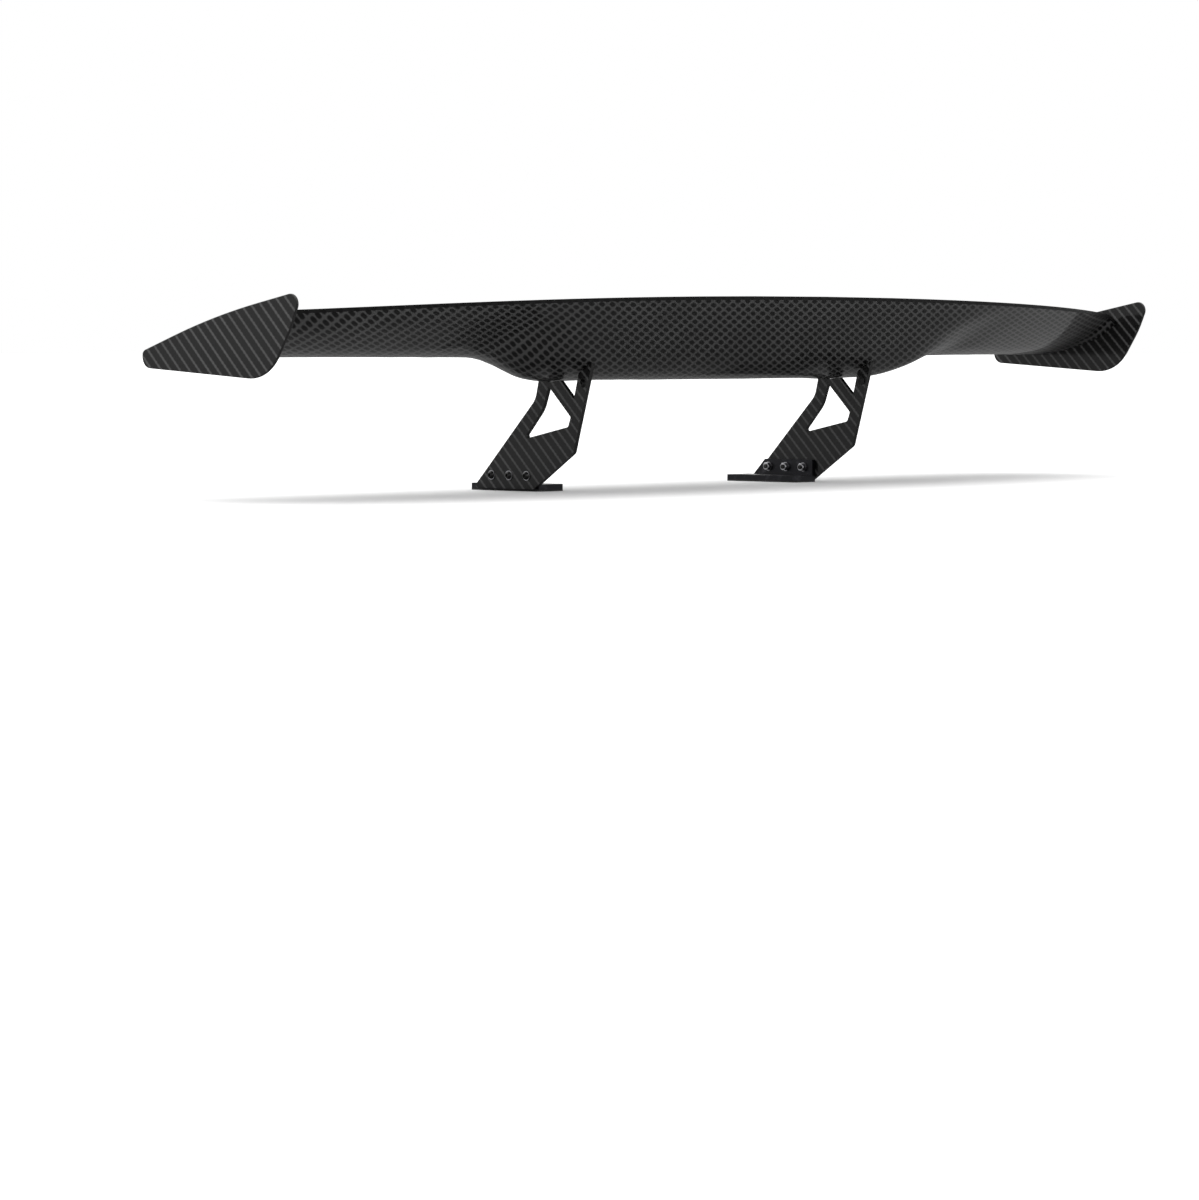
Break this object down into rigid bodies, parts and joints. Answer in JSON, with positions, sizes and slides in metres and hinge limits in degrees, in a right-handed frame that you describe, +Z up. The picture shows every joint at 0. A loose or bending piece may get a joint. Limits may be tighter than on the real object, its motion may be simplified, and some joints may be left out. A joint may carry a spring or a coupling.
{
  "type": "racing rear wing",
  "caption": "Wide carbon rear wing with endplates and a trailing edge lip, on two cut-out uprights with bolt-down feet and an adjustable blade angle.",
  "frame": {"origin": "midway between the two feet, on the deck that they are bolted to", "axes": "+X towards the right side of the car, +Y forwards, +Z up"},
  "size_m": [1.654, 0.3414, 0.248],
  "materials": {
    "blade_carbon": "carbon twill under gloss clear coat",
    "edge_carbon": "black carbon, gloss",
    "endplate_carbon": "carbon twill under satin clear coat",
    "upright_carbon": "carbon twill under satin clear coat",
    "inner_carbon": "bare carbon laminate",
    "foot_aluminium": "black anodised, machined",
    "dowel_aluminium": "turned",
    "bush_bronze": "sintered bronze",
    "pin_steel": "ground dowel steel",
    "black_steel": "black oxide steel",
    "zinc_steel": "zinc plated",
    "gasket_rubber": "soft black rubber"
  },
  "bodies": {
    "stand": {"angle_screws": "black_steel", "angle_sleeves": "black_steel", "foot_bolts": "black_steel", "foot_gasket_left": "gasket_rubber", "foot_gasket_right": "gasket_rubber", "foot_left": "foot_aluminium", "foot_nuts": "zinc_steel", "foot_right": "foot_aluminium", "foot_washers": "zinc_steel", "pivot_pins": "pin_steel", "upright_left": "upright_carbon", "upright_right": "upright_carbon"},
    "wing": {"endplate_dowels_left": "dowel_aluminium", "endplate_dowels_right": "dowel_aluminium", "endplate_left": "endplate_carbon", "endplate_right": "endplate_carbon", "front_spar_centre": "inner_carbon", "front_spar_left": "inner_carbon", "front_spar_right": "inner_carbon", "lower_skin": "blade_carbon", "mid_rib_left": "inner_carbon", "mid_rib_right": "inner_carbon", "mount_rib_left": "black_steel", "mount_rib_right": "black_steel", "outer_rib_left": "inner_carbon", "outer_rib_right": "inner_carbon", "pivot_bushes": "bush_bronze", "rear_spar_centre": "inner_carbon", "rear_spar_left": "inner_carbon", "rear_spar_right": "inner_carbon", "tip_rib_left": "inner_carbon", "tip_rib_right": "inner_carbon", "trailing_edge_lip": "edge_carbon", "upper_skin": "blade_carbon"}
  },
  "joints": [
    {"name": "wing_angle", "type": "hinge", "parent": "stand", "child": "wing", "pos_m": [0, -0.073, 0.154], "axis": [-1, 0, 0], "range_deg": [0, 6]}
  ]
}
